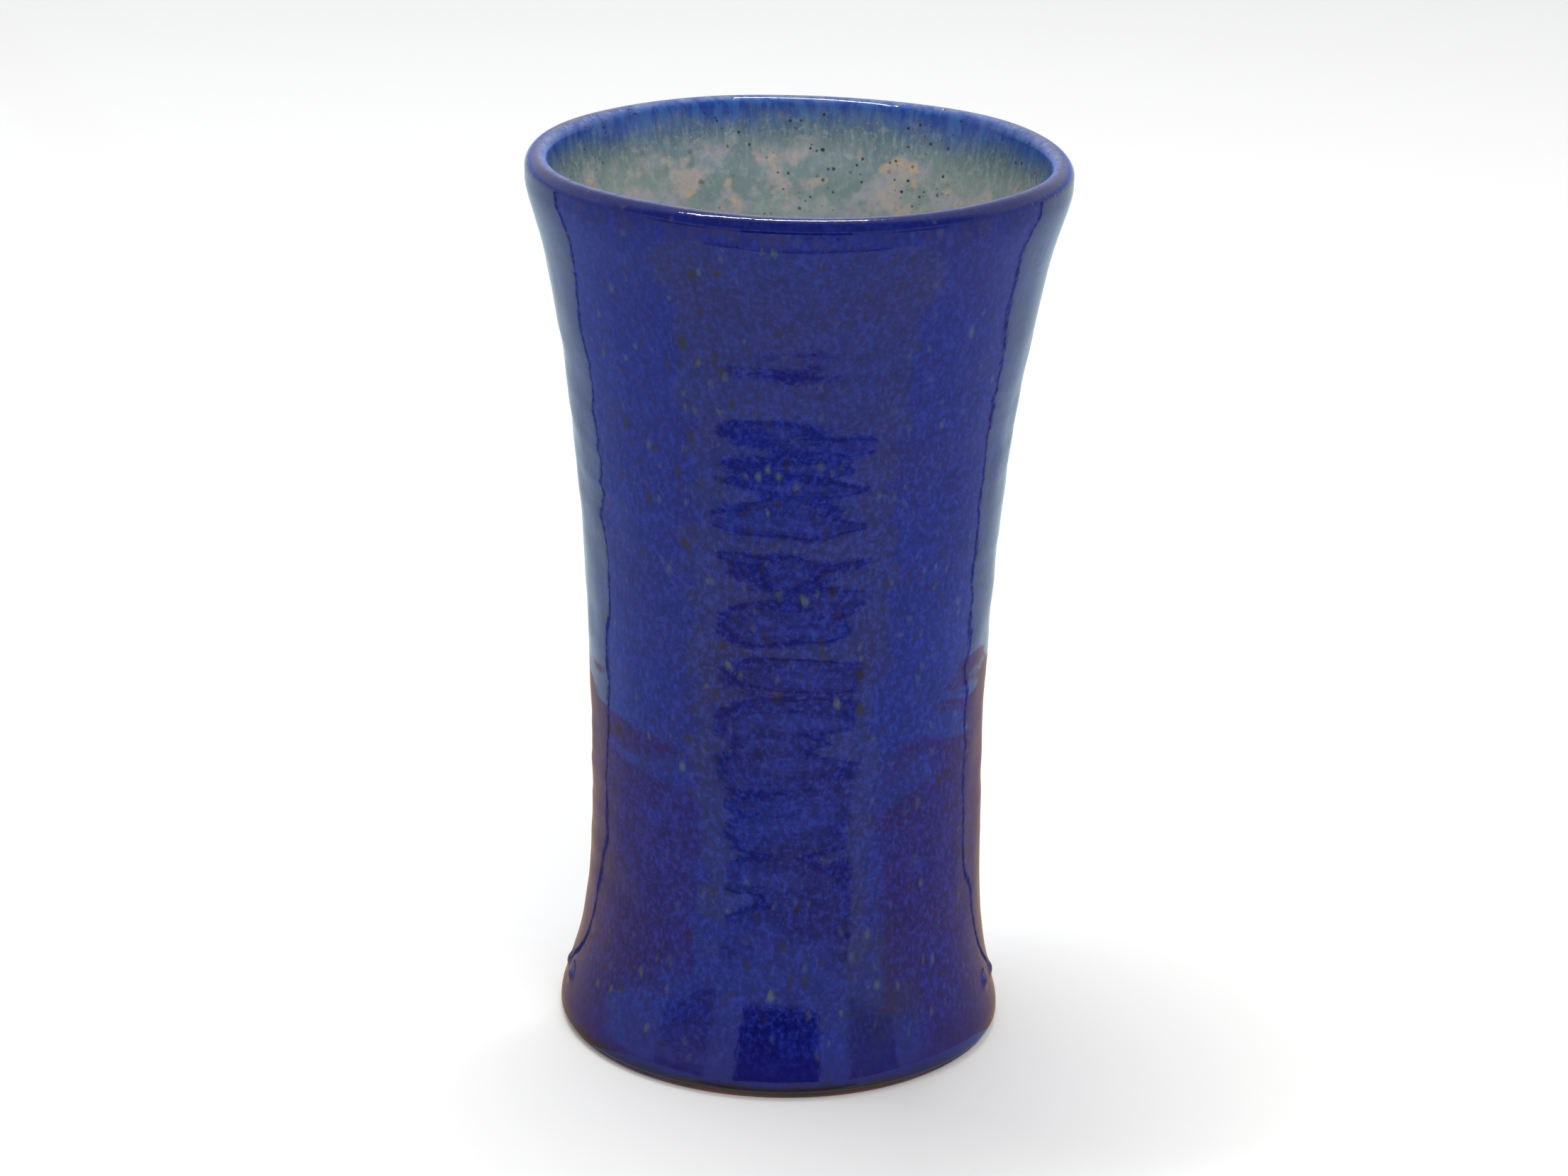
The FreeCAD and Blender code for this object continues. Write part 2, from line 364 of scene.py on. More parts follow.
def spin(name, section, insideFrom, insideTo):
    # closed mesh from a closed section; rows from insideFrom to insideTo follow the inside
    columns = detail["columns"]
    angles = np.linspace(-math.pi, math.pi, columns, endpoint=False)
    rows = len(section)
    radius = np.repeat(section[:, :1], columns, axis=1)
    height = np.repeat(section[:, 1:], columns, axis=1)
    angle = np.repeat(angles[None, :], rows, axis=0)
    newRadius, newHeight = thrown(radius, height, angle, False)
    inside = slice(insideFrom, insideTo)
    innerRadius, innerHeight = thrown(radius, height, angle, True)
    newRadius[inside], newHeight[inside] = innerRadius[inside], innerHeight[inside]
    verts, faces, rings = [], [], []
    for row in range(rows):
        if section[row, 0] < detail["touching"]:
            rings.append([len(verts)])
            verts.append((0, 0, section[row, 1]))
            continue
        rings.append(list(range(len(verts), len(verts) + columns)))
        r, z = newRadius[row], newHeight[row]
        verts.extend(zip(r * np.cos(angles), r * np.sin(angles), z))
    for row in range(rows):
        a, b = rings[row], rings[(row + 1) % rows]
        if len(a) == 1 and len(b) == 1:
            continue
        for c in range(columns):
            d = (c + 1) % columns
            if len(a) == 1:
                faces.append((a[0], b[d], b[c]))
            elif len(b) == 1:
                faces.append((a[c], a[d], b[0]))
            else:
                faces.append((a[c], a[d], b[d], b[c]))
    mesh = bpy.data.meshes.new(name)
    mesh.from_pydata(verts, [], faces)
    mesh.update()
    mesh.polygons.foreach_set("use_smooth", [True] * len(mesh.polygons))
    mesh.set_sharp_from_angle(angle=detail["sharpAngle"])
    mesh.validate()
    piece = bpy.data.objects.new(name, mesh)
    bpy.context.collection.objects.link(piece)
    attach(piece, "root")
    print(name, len(verts), "points")
    return piece


# Helpers for shader nodes.


def shade(red, green, blue):
    # linear colour from 0-255 screen values
    def linear(c):
        return c / 255 / 12.92 if c <= 10 else ((c / 255 + 0.055) / 1.055) ** 2.4

    return (linear(red), linear(green), linear(blue), 1)


def put(tree, kind, plugs=None, **settings):
    # new node with its settings, and its sockets linked or set
    made = tree.nodes.new(kind)
    for key, worth in settings.items():
        setattr(made, key, worth)
    for socket, worth in (plugs or {}).items():
        if isinstance(worth, bpy.types.NodeSocket):
            tree.links.new(worth, made.inputs[socket])
        else:
            made.inputs[socket].default_value = worth
    return made


def maths(tree, what, a, b=0.0, clamp=False):
    plugs = {0: a, 1: b}
    return put(tree, "ShaderNodeMath", plugs, operation=what, use_clamp=clamp).outputs[0]


def times(tree, a, b):
    return maths(tree, "MULTIPLY", a, b)


def minus(tree, a, b):
    return maths(tree, "SUBTRACT", a, b)


def jitter(tree, value, ragged, size):
    # value moved to and fro by a noise, size from end to end
    return maths(tree, "ADD", value, times(tree, minus(tree, ragged, 0.5), size))


def fade(tree, value, low, high, outLow=0.0, outHigh=1.0):
    # smooth change from outLow to outHigh as value goes from low to high
    ends = {"From Min": low, "From Max": high, "To Min": outLow, "To Max": outHigh}
    plugs = {"Value": value, **ends}
    return put(tree, "ShaderNodeMapRange", plugs, interpolation_type="SMOOTHSTEP").outputs[0]


def blend(tree, amount, a, b):
    # colour a under colour b
    plugs = {0: amount, 6: a, 7: b}
    return put(tree, "ShaderNodeMix", plugs, data_type="RGBA", blend_type="MIX").outputs[2]


def dab(tree, tone, colour, mask, strength):
    # colour laid over tone where the mask is
    return blend(tree, times(tree, mask, strength), tone, colour)


def stretched(tree, x, y, z):
    # object position, scaled along each axis
    where = put(tree, "ShaderNodeTexCoord").outputs["Object"]
    plugs = {0: where, 1: (x, y, z)}
    return put(tree, "ShaderNodeVectorMath", plugs, operation="MULTIPLY").outputs[0]


noiseShape = {
    "blotch": 0.6,  # width of a blotch of noise at scale 1
    "ragged": 0.8,  # a spot's uneven edge, as a share of its size
    "largest": 0.75,  # radius of the largest spot, as a share of the size
    "varies": 0.5,  # how much smaller the smallest is
    "faintest": 0.45,  # strength of the faintest spot
}


def cloud(tree, place, size, detailCount=3.0, rough=0.55, seed=0.0):
    # noise whose blotches are about size metres across
    plugs = {0: place, 1: (seed, seed * 0.7, -seed)}
    shifted = put(tree, "ShaderNodeVectorMath", plugs).outputs[0]
    grain = {"Scale": noiseShape["blotch"] / size, "Detail": detailCount, "Roughness": rough}
    return put(tree, "ShaderNodeTexNoise", {"Vector": shifted, **grain}).outputs[0]


def spots(tree, place, spacing, size, share, seed=0.0, soft=0.5, wobble=0.3):
    # scattered spots: cells about spacing apart, a share of them holding a spot of about size
    ragged = cloud(tree, place, size * noiseShape["ragged"], 2.0, seed=seed + 0.3)
    shifted = put(tree, "ShaderNodeVectorMath", {0: place, 1: (seed, seed, seed)}).outputs[0]
    cells = put(tree, "ShaderNodeTexVoronoi", {"Vector": shifted, "Scale": 1 / spacing})
    far = times(tree, cells.outputs["Distance"], spacing)
    far = jitter(tree, far, ragged, wobble * size * 2)
    # three random values of each cell: whether it is chosen, the spot's size and its strength
    pick = put(tree, "ShaderNodeSeparateColor", {0: cells.outputs["Color"]}).outputs
    smaller = times(tree, pick[1], size * noiseShape["varies"])
    reach = minus(tree, size * noiseShape["largest"], smaller)
    edge = maths(tree, "DIVIDE", minus(tree, reach, far), size * soft, clamp=True)
    chosen = maths(tree, "LESS_THAN", pick[0], share)
    strength = fade(tree, pick[2], 0.0, 1.0, noiseShape["faintest"], 1.0)
    return times(tree, times(tree, edge, chosen), strength)


def newFinish(name, roughness):
    # material with a principled shader, and its tree
    finish = bpy.data.materials.new(name)
    finish.use_nodes = True
    shader = finish.node_tree.nodes["Principled BSDF"]
    shader.inputs["Roughness"].default_value = roughness
    shader.inputs["IOR"].default_value = 1.5
    shader.inputs["Specular IOR Level"].default_value = 0.5
    return finish, finish.node_tree, shader


def relief(tree, height, depth, under=None):
    # bump from a height between 0 and 1, depth in metres
    plugs = {"Height": height, "Distance": depth, "Strength": 1.0}
    if under is not None:
        plugs["Normal"] = under
    return put(tree, "ShaderNodeBump", plugs).outputs[0]


def pitted(tree, pits, depth, under):
    # small holes sunk into a relief
    return relief(tree, minus(tree, 1.0, pits), depth, under)


def wear(piece, finish):
    piece.data.materials.clear()
    piece.data.materials.append(finish)


def heightUp(tree):
    # height above the foot
    where = put(tree, "ShaderNodeTexCoord").outputs["Object"]
    return put(tree, "ShaderNodeSeparateXYZ", {0: where}).outputs[2]


def underCrest(tree):
    # depth below the crest of the lip
    return minus(tree, mugHeight, heightUp(tree))


def fromAxis(tree):
    # distance from the axis
    flat = stretched(tree, 1, 1, 0)
    return put(tree, "ShaderNodeVectorMath", {0: flat}, operation="LENGTH").outputs["Value"]


# The clay body.

clay = {
    "colour": shade(150, 96, 58),
    "dark": shade(84, 50, 32),
    "grog": shade(196, 150, 104),
    # painted shadow on the clay under the glaze's edge
    "shadeUnderGlaze": shade(40, 24, 20),  # beside the glaze
    "roughness": 0.8,
    "blotches": {"size": 0.012},
    "blotchFade": (0.35, 0.7),
    "grogSpots": {"spacing": 0.0016, "size": 0.0005, "share": 0.5, "seed": 2.0},
    "grogStrength": 0.6,
    "ironSpots": {"spacing": 0.0028, "size": 0.0006, "share": 0.4, "seed": 5.0},
    "ironStrength": 0.7,
    # heights, reach and strength of the painted shadow under the glaze's edge
    "shadeUnderGlazeFade": (-0.0004, glazeLine - 0.0002, 0.5, 1.0),  # from and to heights, and strengths
    "shadeUnderGlazeReach": 0.0012,  # in from the outer edge
    "shadeUnderGlazeStrength": 0.85,
    "turningMarks": 0.0011,  # spacing of the trimming tool's lines
    "turningTop": 0.004,  # they stop at this height
    "turningDepth": 0.00005,
    "grit": {"size": 0.0006, "detailCount": 4.0, "rough": 0.7},
    "gritDepth": 0.00012,
}


def clayFinish():
    finish, tree, shader = newFinish("clayFinish", clay["roughness"])
    place = stretched(tree, 1, 1, 1)
    up, out = heightUp(tree), fromAxis(tree)
    blotches = fade(tree, cloud(tree, place, **clay["blotches"]), *clay["blotchFade"])
    tone = blend(tree, blotches, clay["colour"], clay["dark"])
    grog = spots(tree, place, **clay["grogSpots"])
    tone = dab(tree, tone, clay["grog"], grog, clay["grogStrength"])
    iron = spots(tree, place, **clay["ironSpots"])
    tone = dab(tree, tone, clay["dark"], iron, clay["ironStrength"])
    # painted shadow: darker clay just under the glaze's edge, round the outside of the foot
    outside = maths(tree, "GREATER_THAN", out, footRadius - glazeDepth - clay["shadeUnderGlazeReach"])
    glazeShadow = times(tree, fade(tree, up, *clay["shadeUnderGlazeFade"]), outside)
    tone = dab(tree, tone, clay["shadeUnderGlaze"], glazeShadow, clay["shadeUnderGlazeStrength"])
    tree.links.new(tone, shader.inputs["Base Color"])
    lines = maths(tree, "SINE", times(tree, out, 2 * math.pi / clay["turningMarks"]))
    under = maths(tree, "LESS_THAN", up, clay["turningTop"])
    grooves = relief(tree, times(tree, lines, under), clay["turningDepth"])
    grit = relief(tree, cloud(tree, place, **clay["grit"]), clay["gritDepth"], grooves)
    tree.links.new(grit, shader.inputs["Normal"])
    return finish


def footSection(step):
    # underside and foot ring, from the middle out to the glaze line
    edge = footRadius - glazeDepth
    ringIn = edge - footRing["width"]
    bevel, recess, soft = footRing["bevel"], footRing["recess"], footRing["recessRound"]
    small, middle = detail["ring"], (ringIn - soft, recess - soft)
    return chain(
        straight((0, recess), (ringIn - soft, recess), step),
        turn(middle, soft, math.pi / 2, 0, detail["recessRound"]),
        straight((ringIn, recess - soft), (ringIn, bevel), small),
        straight((ringIn, bevel), (ringIn + bevel, 0), small),
        straight((ringIn + bevel, 0), (edge - bevel, 0), step),
        straight((edge - bevel, 0), (edge, bevel), small),
        straight((edge, bevel), (edge, glazeLine), small),
    )


def clayBody():
    hidden, hiddenLip = detail["hidden"], detail["hidden"] / detail["lipCloser"]
    under = footSection(detail["fine"] * detail["clayCoarser"])
    outside = chain(under, outerWall(glazeDepth, hidden))
    section = chain(outside, overLip(glazeDepth, hiddenLip), innerWall(glazeDepth, hidden))
    crest = len(outside) + rowsToCrest(glazeDepth, hiddenLip)
    piece = spin("clayBody", section, crest, len(section))
    wear(piece, clayFinish())
    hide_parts("stoneware_body")


clayBody()


# The outer coat: cobalt glaze.

outerCoat = {
    "deep": shade(4, 8, 66),
    "blue": shade(9, 22, 102),
    "bright": shade(32, 48, 134),
    "violet": shade(24, 18, 84),
    "olive": shade(88, 100, 50),
    "brown": shade(30, 21, 32),
    # near-black painted shade at the foot
    "footShade": shade(24, 13, 12),
    "collar": shade(44, 34, 44),
    "stain": shade(34, 34, 50),
    "roughness": 0.085,
    "streakStretch": 0.8,  # under 1 draws the mottle out downwards
    "speckStretch": 0.62,
    "rollClear": 1.2,  # the wall's rows start this far above the edge's roll, in rolls
}
# mottle: broad violet patches, then two finer layers of light and dark
mottle = {
    "patches": {"size": 0.026, "detailCount": 3.0, "rough": 0.55, "seed": 0.11},
    "patchFade": (0.44, 0.62, 0, 0.8),
    "layers": (
        {"size": 0.0026, "detailCount": 4.0, "rough": 0.70, "seed": 0.37},
        {"size": 0.0006, "detailCount": 2.0, "rough": 0.70, "seed": 0.53},
    ),
    "lightStrengths": (0.18, 0.48),
    "darkStrengths": (0.36, 0.60),
    "lightFade": (0.50, 0.64),
    "darkFade": (0.50, 0.36),
    "calmFade": (0.155, 0.115, 0.75, 1.0),  # the coat is smoother high on the wall
    "thickFade": (0.0062, 0.0020, 0, 0.50),  # and thick and dark just outside the crest
}
# brown and olive crystals in drifts, and fine dust
specks = {
    "drifts": {"size": 0.016, "detailCount": 2.0, "seed": 0.91},
    "driftFade": (0.42, 0.58, 0.30, 1.0),
    "brown": {"spacing": 0.0022, "size": 0.0014, "share": 0.80, "seed": 0.21, "soft": 0.45},
    "brownStrength": 0.85,
    "olive": {"spacing": 0.0022, "size": 0.0012, "share": 0.40, "seed": 0.77, "soft": 0.7},
    "oliveStrength": 0.55,
    "wobble": 0.9,  # how ragged the crystals are
    "dust": {"spacing": 0.0012, "size": 0.0005, "share": 0.5, "seed": 0.57, "soft": 0.4},
    "dustStrength": 0.5,
}
# places where the coat is stained or thin, and painted shade towards the foot
coatMarks = {
    "stainPlace": (0.020, -0.037, 0.018),
    "stainFade": (0.015, 0.002, 0, 0.55),
    "stainEdge": {"size": 0.004, "detailCount": 4.0, "rough": 0.6, "seed": 0.71},
    "stainRagged": 0.030,
    "footEdge": {"size": 0.004},
    "footRagged": 0.0030,
    # painted shade towards the foot, by height: violet, then near-black
    "footVioletShade": (0.0150, 0.0030, 0, 0.75),
    "footDarkShade": (0.0040, 0.0020, 0, 0.95),
    "collarFade": (0.0080, 0.0030),
    "collarBreaks": {"size": 0.0030, "detailCount": 4.0, "rough": 0.6, "seed": 0.63},
    "collarBreakFade": (0.48, 0.60),
    "collarStrength": 0.45,
}
coatRelief = {
    "peel": {"size": 0.0018, "detailCount": 2.0, "rough": 0.5, "seed": 0.15},
    "peelDepth": 0.000032,
    "finePeel": {"size": 0.0006, "detailCount": 2.0, "rough": 0.6, "seed": 0.25},
    "finePeelDepth": 0.000012,
    "pits": {"spacing": 0.0060, "size": 0.0004, "share": 0.6, "seed": 0.47, "soft": 0.6},
    "pitDepth": 0.00015,
}


def blueMottle(tree):
    # the cobalt coat's colour, shared with the rim where the two run together
    even = stretched(tree, 1, 1, 1)
    drawn = stretched(tree, 1, 1, outerCoat["streakStretch"])
    patches = fade(tree, cloud(tree, even, **mottle["patches"]), *mottle["patchFade"])
    tone = blend(tree, patches, outerCoat["blue"], outerCoat["violet"])
    calm = fade(tree, heightUp(tree), *mottle["calmFade"])
    layers = zip(mottle["layers"], mottle["lightStrengths"], mottle["darkStrengths"])
    for spec, light, dark in layers:
        layer = cloud(tree, drawn, **spec)
        lighter = times(tree, fade(tree, layer, *mottle["lightFade"], 0, light), calm)
        tone = blend(tree, lighter, tone, outerCoat["bright"])
        darker = times(tree, fade(tree, layer, *mottle["darkFade"], 0, dark), calm)
        tone = blend(tree, darker, tone, outerCoat["deep"])
    return blend(tree, fade(tree, underCrest(tree), *mottle["thickFade"]), tone, outerCoat["deep"])


def outerSpecks(tree, tone):
    even = stretched(tree, 1, 1, 1)
    drawn = stretched(tree, 1, 1, outerCoat["speckStretch"])
    drifts = fade(tree, cloud(tree, even, **specks["drifts"]), *specks["driftFade"])
    for name in ("brown", "olive"):
        crystals = spots(tree, drawn, **specks[name], wobble=specks["wobble"])
        crystals = times(tree, crystals, drifts)
        tone = dab(tree, tone, outerCoat[name], crystals, specks[name + "Strength"])
    dust = spots(tree, drawn, **specks["dust"])
    return dab(tree, tone, outerCoat["brown"], dust, specks["dustStrength"])


def stained(tree, tone, even):
    # brown-green stain low on the front
    plugs = {0: even, 1: coatMarks["stainPlace"]}
    away = put(tree, "ShaderNodeVectorMath", plugs, operation="DISTANCE").outputs["Value"]
    near = jitter(tree, away, cloud(tree, even, **coatMarks["stainEdge"]), coatMarks["stainRagged"])
    return blend(tree, fade(tree, near, *coatMarks["stainFade"]), tone, outerCoat["stain"])


def paintedFootShade(tree, tone):
    # painted shade: violet, then near-black, towards the foot
    drawn = stretched(tree, 1, 1, outerCoat["streakStretch"])
    ragged = cloud(tree, drawn, **coatMarks["footEdge"])
    edge = jitter(tree, heightUp(tree), ragged, coatMarks["footRagged"])
    tone = blend(tree, fade(tree, edge, *coatMarks["footVioletShade"]), tone, outerCoat["violet"])
    return blend(tree, fade(tree, edge, *coatMarks["footDarkShade"]), tone, outerCoat["footShade"])


def thinCollar(tree, tone, even):
    # brown breaks under the lip
    breaks = cloud(tree, even, **coatMarks["collarBreaks"])
    breaks = fade(tree, breaks, *coatMarks["collarBreakFade"])
    collar = times(tree, fade(tree, underCrest(tree), *coatMarks["collarFade"]), breaks)
    return dab(tree, tone, outerCoat["collar"], collar, coatMarks["collarStrength"])


def outerFinish():
    finish, tree, shader = newFinish("cobaltGlaze", outerCoat["roughness"])
    even = stretched(tree, 1, 1, 1)
    tone = stained(tree, blueMottle(tree), even)
    tone = outerSpecks(tree, tone)
    # painted shade towards the foot
    tone = paintedFootShade(tree, tone)
    tone = thinCollar(tree, tone, even)
    tree.links.new(tone, shader.inputs["Base Color"])
    peel = relief(tree, cloud(tree, even, **coatRelief["peel"]), coatRelief["peelDepth"])
    finePeel = cloud(tree, even, **coatRelief["finePeel"])
    peel = relief(tree, finePeel, coatRelief["finePeelDepth"], peel)
    pits = spots(tree, even, **coatRelief["pits"])
    pits = pitted(tree, pits, coatRelief["pitDepth"], peel)
    tree.links.new(pits, shader.inputs["Normal"])
    return finish


def outerGlaze():
    roll, hidden = mugShape["edgeRoll"], detail["hidden"]
    foot = (footRadius - roll, glazeLine + roll)
    foot = turn(foot, roll, -math.pi / 2, 0, detail["edgeRoll"])
    face = outerWall(0, detail["fine"])
    face = face[face[:, 1] > glazeLine + roll * outerCoat["rollClear"]]
    back = outerWall(glazeDepth, hidden)[::-1]
    section = np.vstack([back[-1:], foot, face, back[:-1]])
    piece = spin("outerGlaze", section, 0, 0)
    wear(piece, outerFinish())
    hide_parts("outer_glaze")


outerGlaze()


# The rim coat: cobalt thinned over the lip, running down inside.

rimCoat = {
    "pale": shade(100, 116, 156),
    "blue": shade(48, 76, 146),
    "run": shade(46, 86, 148),  # the blue seen through the inside's green
    "deepRun": shade(30, 58, 132),
    "ochre": shade(98, 86, 84),
    "roughness": 0.08,
    "thin": {"size": 0.0014, "detailCount": 4.0, "rough": 0.7, "seed": 0.83},
    "thinFade": (0.38, 0.62),
    # distances in from the lip's widest reach
    "outsideFade": (0.0028, 0.0012),  # cobalt comes up over the outside
    "insideFade": (0.0029, 0.0040),  # and runs down the inside
    "lineIn": 0.0021,  # the broken brown line where the cobalt stops
    "lineFade": (0.0007, 0.0002),  # distances from the line
    "lineBreaks": {"size": 0.0040, "detailCount": 4.0, "rough": 0.7, "seed": 0.29},
    "lineBreakFade": (0.46, 0.60),
    "lineStrength": 0.65,
    "runStreaks": {"size": 0.0011, "detailCount": 3.0, "rough": 0.6, "seed": 9.1},
    "runStreakFade": (0.40, 0.60),
    "runEnd": (0.0008, 0.0080),  # depth where the runs give way to the green
}

linerCoat = {
    "green": shade(140, 153, 148),
    "teal": shade(118, 138, 137),
    "shade": shade(72, 98, 104),  # just below the rim coat
    "milky": shade(164, 172, 164),
    "buff": shade(180, 168, 152),
    "ochre": shade(208, 170, 116),
    "lilac": shade(164, 160, 170),
    "speck": shade(92, 70, 48),
    "pin": shade(20, 17, 16),
    "roughness": 0.10,
    "drawnOut": 0.22,  # stretch of the streaks that run down
    # the depth that the colours go by, made uneven by streaks and patches
    "longRuns": {"size": 0.0011, "detailCount": 4.0, "rough": 0.65, "seed": 1.3},
    "patches": {"size": 0.0090, "detailCount": 4.0, "rough": 0.60, "seed": 1.9},
    "unevenDepth": 0.006,
    "patchFade": (0.40, 0.60),
    "shadeFade": (0.015, 0.005, 0, 0.85),
    "milkyRuns": {"size": 0.0007, "detailCount": 3.0, "rough": 0.65, "seed": 2.3},
    "milkyRunFade": (0.42, 0.68, 0, 0.28),
    "milkyRunEnd": (0.022, 0.010),
    # clouds of lilac with buff and ochre hearts, in a band
    "cloudDepth": 0.0165,  # of the band's middle, below the crest
    "cloudFade": (0.0102, 0.0024),
    "puffs": {"size": 0.0048, "detailCount": 3.0, "rough": 0.55, "seed": 3.1},
    "puffFade": (0.43, 0.57),
    "puffStrength": 0.85,
    "hearts": {"size": 0.0030, "detailCount": 3.0, "rough": 0.55, "seed": 4.7},
    "heartFade": (0.46, 0.60),
    "heartStrength": 0.7,
    "warmth": {"size": 0.0024, "detailCount": 2.0, "rough": 0.5, "seed": 5.3},
    "warmFade": (0.54, 0.66),
    "warmStrength": 0.75,
    "grain": {"size": 0.0009, "detailCount": 3.0, "rough": 0.7, "seed": 2.9},
    "grainLight": (0.50, 0.68, 0, 0.4),
    "grainDark": (0.50, 0.32, 0, 0.4),
    # brown specks, and black pinholes in crowds
    "specks": {"spacing": 0.0030, "size": 0.0013, "share": 0.34, "seed": 6.1, "soft": 0.5},
    "speckStrength": 0.75,
    "crowds": {"size": 0.009, "detailCount": 2.0, "seed": 8.3},
    "crowdFade": (0.49, 0.54),
    "pins": {"spacing": 0.0011, "size": 0.00062, "share": 0.38, "seed": 7.7, "soft": 0.35},
    "pinStrength": 0.95,
    "pinDepth": 0.0001,
    "peel": {"size": 0.0018, "detailCount": 3.0, "rough": 0.6, "seed": 0.15},
    "rimPeelDepth": 0.00007,
    "peelDepth": 0.00006,
}


def puffed(tree, tone, even, depth):
    # lilac clouds with buff and ochre hearts
    coat = linerCoat
    away = maths(tree, "ABSOLUTE", minus(tree, depth, coat["cloudDepth"]))
    puffs = fade(tree, cloud(tree, even, **coat["puffs"]), *coat["puffFade"])
    lilac = times(tree, fade(tree, away, *coat["cloudFade"]), puffs)
    tone = dab(tree, tone, coat["lilac"], lilac, coat["puffStrength"])
    hearts = fade(tree, cloud(tree, even, **coat["hearts"]), *coat["heartFade"])
    tone = dab(tree, tone, coat["buff"], times(tree, lilac, hearts), coat["heartStrength"])
    warm = fade(tree, cloud(tree, even, **coat["warmth"]), *coat["warmFade"])
    return dab(tree, tone, coat["ochre"], times(tree, lilac, warm), coat["warmStrength"])


def insideTone(tree):
    # the inside's colour by depth below the crest: teal, clouds, grey-green
    coat = linerCoat
    under = underCrest(tree)
    even, drawn = stretched(tree, 1, 1, 1), stretched(tree, 1, 1, coat["drawnOut"])
    patches = cloud(tree, even, **coat["patches"])
    depth = jitter(tree, under, cloud(tree, drawn, **coat["longRuns"]), coat["unevenDepth"])
    depth = jitter(tree, depth, patches, coat["unevenDepth"])
    tone = blend(tree, fade(tree, patches, *coat["patchFade"]), coat["green"], coat["teal"])
    tone = blend(tree, fade(tree, under, *coat["shadeFade"]), tone, coat["shade"])
    milky = fade(tree, cloud(tree, drawn, **coat["milkyRuns"]), *coat["milkyRunFade"])
    milky = times(tree, milky, fade(tree, under, *coat["milkyRunEnd"]))
    tone = blend(tree, milky, tone, coat["milky"])
    tone = puffed(tree, tone, even, depth)
    grain = cloud(tree, even, **coat["grain"])
    tone = blend(tree, fade(tree, grain, *coat["grainLight"]), tone, coat["milky"])
    tone = blend(tree, fade(tree, grain, *coat["grainDark"]), tone, coat["teal"])
    return tone, depth


def runTone(tree):
    # blue that has run down inside, streaked
    drawn = stretched(tree, 1, 1, linerCoat["drawnOut"])
    streaks = fade(tree, cloud(tree, drawn, **rimCoat["runStreaks"]), *rimCoat["runStreakFade"])
    return blend(tree, streaks, rimCoat["run"], rimCoat["deepRun"])


def insideSpecks(tree, tone, even):
    brown = spots(tree, even, **linerCoat["specks"])
    tone = dab(tree, tone, linerCoat["speck"], brown, linerCoat["speckStrength"])
    crowds = fade(tree, cloud(tree, even, **linerCoat["crowds"]), *linerCoat["crowdFade"])
    pins = times(tree, spots(tree, even, **linerCoat["pins"]), crowds)
    return dab(tree, tone, linerCoat["pin"], pins, linerCoat["pinStrength"]), pins


def insideSurface(tree, shader, tone, peelDepth):
    # specks, pinholes and orange peel, shared by the rim and the liner
    even = stretched(tree, 1, 1, 1)
    tone, pins = insideSpecks(tree, tone, even)
    tree.links.new(tone, shader.inputs["Base Color"])
    peel = relief(tree, cloud(tree, even, **linerCoat["peel"]), peelDepth)
    pins = pitted(tree, pins, linerCoat["pinDepth"], peel)
    tree.links.new(pins, shader.inputs["Normal"])


def rimFinish():
    finish, tree, shader = newFinish("rimGlaze", rimCoat["roughness"])
    green, depth = insideTone(tree)
    even = stretched(tree, 1, 1, 1)
    inward = minus(tree, mouthRadius, fromAxis(tree))
    # pale where the glaze is thin on the crest
    thin = fade(tree, cloud(tree, even, **rimCoat["thin"]), *rimCoat["thinFade"])
    tone = blend(tree, thin, rimCoat["pale"], rimCoat["blue"])
    tone = blend(tree, fade(tree, inward, *rimCoat["outsideFade"]), tone, blueMottle(tree))
    off = maths(tree, "ABSOLUTE", minus(tree, inward, rimCoat["lineIn"]))
    breaks = fade(tree, cloud(tree, even, **rimCoat["lineBreaks"]), *rimCoat["lineBreakFade"])
    line = times(tree, fade(tree, off, *rimCoat["lineFade"]), breaks)
    tone = dab(tree, tone, rimCoat["ochre"], line, rimCoat["lineStrength"])
    inner = fade(tree, inward, *rimCoat["insideFade"])
    tone = blend(tree, inner, tone, runTone(tree))
    tone = dab(tree, tone, green, inner, fade(tree, depth, *rimCoat["runEnd"]))
    insideSurface(tree, shader, tone, linerCoat["rimPeelDepth"])
    return finish


def rimGlaze():
    fine, hiddenLip = detail["fine"] * detail["rimFiner"], detail["hidden"] / detail["lipCloser"]
    back = overLip(glazeDepth, hiddenLip)[::-1]
    section = np.vstack([overLip(0, fine), back])
    crestBack = len(section) - rowsToCrest(glazeDepth, hiddenLip)
    piece = spin("rimGlaze", section, rowsToCrest(0, fine), crestBack)
    wear(piece, rimFinish())
    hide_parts("rim_glaze")


rimGlaze()


# The liner coat: grey-green glaze inside.


def linerFinish():
    finish, tree, shader = newFinish("linerGlaze", linerCoat["roughness"])
    green, depth = insideTone(tree)
    tone = blend(tree, fade(tree, depth, *rimCoat["runEnd"]), runTone(tree), green)
    insideSurface(tree, shader, tone, linerCoat["peelDepth"])
    return finish


def linerGlaze():
    face = innerWall(0, detail["fine"] * detail["linerCoarser"])
    back = innerWall(glazeDepth, detail["hidden"])[::-1]
    section = np.vstack([face, back])
    piece = spin("linerGlaze", section, 0, len(section))
    wear(piece, linerFinish())
    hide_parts("liner_glaze")


linerGlaze()


# Floor, light and camera.

